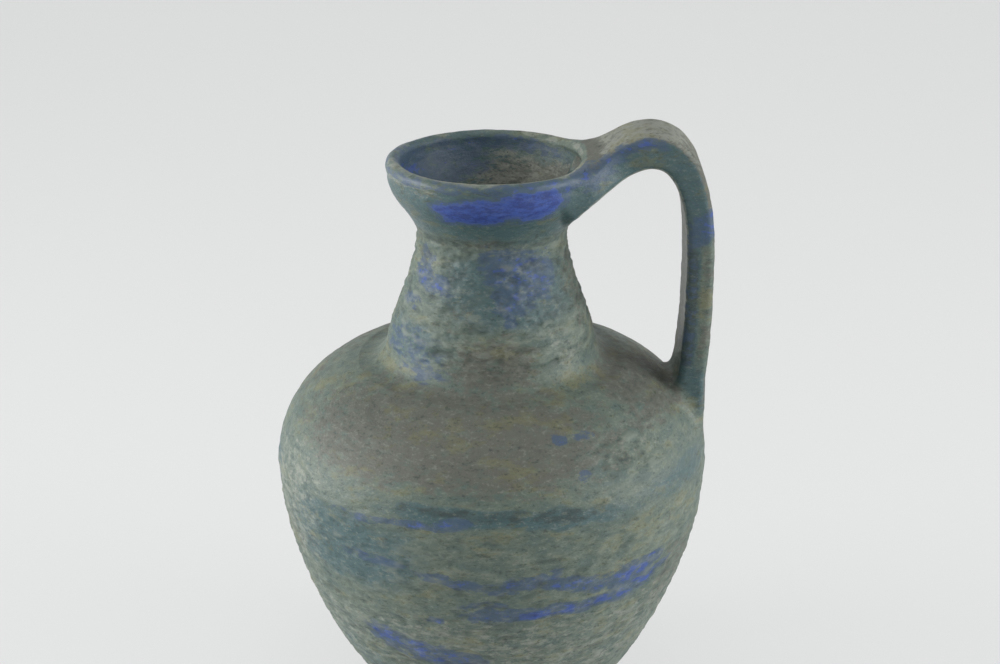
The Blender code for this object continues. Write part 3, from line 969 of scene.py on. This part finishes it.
def with_relief(colour, glaze):
    """Darker hollows and paler peaks."""
    height = glaze.mark("relief")
    colour = glaze.mix(glaze.ramp(height, -0.05, -0.80, 0.5), colour, HOLLOW)
    return glaze.mix(glaze.ramp(height, 0.10, 0.80, 0.4), colour, PEAK)


def mottled_glaze_with_painted_light():
    """Grey-green glaze with washes, flecks, streaks and strands, satin and pitted, and a bare clay foot. Some
    pale and dark washes are painted light and shade.
    """
    glaze = Recipe("mottled_glaze_with_painted_light")
    kinds = {name: glaze.patches(*form) for name, form in PATCHES.items()}
    colour = ground(glaze, kinds)
    for layer in (with_washes_and_painted_light, with_flecks, with_blue, with_strands):
        colour = layer(colour, glaze, kinds)
    colour = with_relief(colour, glaze)
    clay = glaze.mix(kinds["mottle"], DARK_CLAY, PALE_CLAY)
    bare = glaze.mark("bare")
    satin = glaze.sum(
        (kinds["broken"], 0.35), (kinds["grain"], 0.15), (bare, 0.30), (glaze.mark("rough"), 0.16),
        (glaze.mark("taupe"), 0.22), (LEAST_ROUGHNESS, 1.0))
    pits = glaze.sum((kinds["grain"], 0.6), (kinds["dashes"], 0.6))
    pitted = glaze.node("ShaderNodeBump", "Normal", {
        "Strength": PIT_STRENGTH, "Distance": PIT_DEPTH, "Height": pits})
    glaze.put(glaze.shader.inputs["Base Color"], glaze.mix(bare, colour, clay))
    glaze.put(glaze.shader.inputs["Roughness"], satin)
    glaze.put(glaze.shader.inputs["Specular IOR Level"], GLAZE_SPECULAR)
    glaze.put(glaze.shader.inputs["Normal"], pitted)
    return glaze.material


# Stage, light and camera

# The photograph is 1000 pixels wide. Its view is given by the focal length in pixels and the camera's place.
IMAGE_WIDTH = 1000
FOCAL_PIXELS = 2000
SENSOR_WIDTH = 36
CAMERA_PITCH = 21.21
CAMERA_BACK = 0.8642
CAMERA_ABOVE_RIM = 0.2506
CAMERA_ASIDE = 0.0038

# The softboxes, each with its place and its power in watts, and the even light all round
SOFTBOXES = {
    "left_softbox": ((-1.4, -0.1, 0.5), 8.8),
    "right_softbox": ((1.4, -0.3, 0.5), 6.8),
    "top_softbox": ((0, -0.1, 1.7), 1.0),
}
SOFTBOX_SIZE = 0.9
SOFTBOX_SPREAD = 110
SOFTBOX_AIM = (0, 0, 0.15)
SURROUND_LEVEL = 0.53

# The backdrop, and how evenly its paper shows
FLOOR_RADIUS = 2.0
SWEEP_RADIUS = 0.8
BACKDROP_HEIGHT = 2.0
BACKDROP_COLUMNS = 96
SWEEP_ROWS = 12
PAPER_COLOUR, PAPER_SEEN = (0.80, 0.805, 0.805, 1), tint(228, 229, 229)
PAPER_ROUGHNESS = 0.9
PAPER_SPECULAR = 0.1
PAPER_EVENNESS = 0.8


def add_camera():
    data = bpy.data.cameras.new("camera")
    data.sensor_fit = "HORIZONTAL"
    data.sensor_width = SENSOR_WIDTH
    data.lens = SENSOR_WIDTH * FOCAL_PIXELS / IMAGE_WIDTH
    camera = bpy.data.objects.new("camera", data)
    camera.location = (CAMERA_ASIDE, -CAMERA_BACK, RIM_HEIGHT + CAMERA_ABOVE_RIM)
    camera.rotation_euler = (radians(90 - CAMERA_PITCH), 0, 0)
    bpy.context.scene.collection.objects.link(camera)
    bpy.context.scene.camera = camera


def add_softbox(name, place, power):
    data = bpy.data.lights.new(name, "AREA")
    data.shape = "SQUARE"
    data.size = SOFTBOX_SIZE
    data.energy = power
    data.spread = radians(SOFTBOX_SPREAD)
    lamp = bpy.data.objects.new(name, data)
    lamp.location = place
    lamp.rotation_euler = (Vector(SOFTBOX_AIM) - Vector(place)).to_track_quat("-Z", "Y").to_euler()
    bpy.context.scene.collection.objects.link(lamp)


def add_light():
    """The softboxes and an even white surround."""
    world = bpy.data.worlds.new("surround")
    world.use_nodes = True
    world.node_tree.nodes["Background"].inputs["Color"].default_value = (1, 1, 1, 1)
    world.node_tree.nodes["Background"].inputs["Strength"].default_value = SURROUND_LEVEL
    bpy.context.scene.world = world
    for name, (place, power) in SOFTBOXES.items():
        add_softbox(name, place, power)


def pale_paper():
    """Matt paper that shows and mirrors at an even pale level, with the vase's shadow on it."""
    paper = Recipe("pale_paper")
    paper.put(paper.shader.inputs["Base Color"], PAPER_COLOUR)
    paper.put(paper.shader.inputs["Roughness"], PAPER_ROUGHNESS)
    paper.put(paper.shader.inputs["Specular IOR Level"], PAPER_SPECULAR)
    kinds = ("Is Camera Ray", "Is Glossy Ray", "Is Transmission Ray")
    rays = [paper.node("ShaderNodeLightPath", kind, {}) for kind in kinds]
    share = paper.sum(*((ray, PAPER_EVENNESS) for ray in rays))
    even = paper.node("ShaderNodeEmission", "Emission", {"Color": PAPER_SEEN, "Strength": 1.0})
    layers = {0: share, 1: paper.shader.outputs["BSDF"], 2: even}
    surface = paper.node("ShaderNodeMixShader", "Shader", layers)
    paper.put(paper.tree.nodes["Material Output"].inputs["Surface"], surface)
    return paper.material


def backdrop_mesh():
    """A floor just below the foot that sweeps up into a wall all round."""
    sweep = np.linspace(0, pi / 2, SWEEP_ROWS + 1)[1:]
    line = [(FLOOR_RADIUS, 0)]
    line += [(FLOOR_RADIUS + SWEEP_RADIUS * sin(turn), SWEEP_RADIUS * (1 - cos(turn))) for turn in sweep]
    line.append((FLOOR_RADIUS + SWEEP_RADIUS, BACKDROP_HEIGHT))
    turns = np.linspace(0, 2 * pi, BACKDROP_COLUMNS, endpoint=False)
    verts = [(0, 0, -SLIP_GAP)]
    for radius, height in line:
        verts += [(radius * cos(turn), radius * sin(turn), height - SLIP_GAP) for turn in turns]
    index = 1 + np.arange(len(line) * BACKDROP_COLUMNS).reshape(len(line), BACKDROP_COLUMNS)
    after = np.roll(index, -1, axis=1)
    faces = [(0, *edge) for edge in zip(index[0].tolist(), after[0].tolist())]
    faces += np.stack([index[:-1], index[1:], after[1:], after[:-1]], axis=2).reshape(-1, 4).tolist()
    mesh = bpy.data.meshes.new("backdrop")
    mesh.from_pydata(verts, [], faces)
    mesh.shade_smooth()
    return mesh


def add_stage():
    mesh = backdrop_mesh()
    mesh.materials.append(pale_paper())
    backdrop = bpy.data.objects.new("backdrop", mesh)
    bpy.context.scene.collection.objects.link(backdrop)


# The vase

def build_vase():
    """The sections of the wall, each with its outside and inside stretch of the outline, and the handle."""
    glaze = mottled_glaze_with_painted_light()
    grid, normals, height = wall_surface()
    marks = wall_marks(grid, height)
    stretches = {
        "lower_body": ("belly_glaze", [("start", "girth"), ("girth_in", "floor")]),
        "shoulder": ("shoulder_glaze", [("girth", "seat"), ("seat_in", "girth_in")]),
        "neck": ("neck_glaze", [("seat", "throat"), ("throat_in", "seat_in")]),
        "rim_collar": ("collar_glaze", [("throat", "throat_in")]),
    }
    for node, (slot, parts) in stretches.items():
        rows = np.concatenate([np.arange(ENDS[start], ENDS[end] + 1) for start, end in parts])
        section_marks = {name: values[rows] for name, values in marks.items()}
        piece = grid_piece(node + "_skin", grid[rows], normals[rows], node != "lower_body", section_marks)
        show(piece, node, glaze)

    strap = strap_grid()
    grid, normals, height = strap_surface(strap[..., :3])
    marks = strap_marks(grid, strap[..., 3], strap[..., 4], height)
    piece = grid_piece("handle_skin", grid, normals, False, marks)
    show(piece, "handle", glaze)


bpy.context.scene.view_settings.view_transform = "Standard"
add_camera()
add_stage()
add_light()
build_vase()
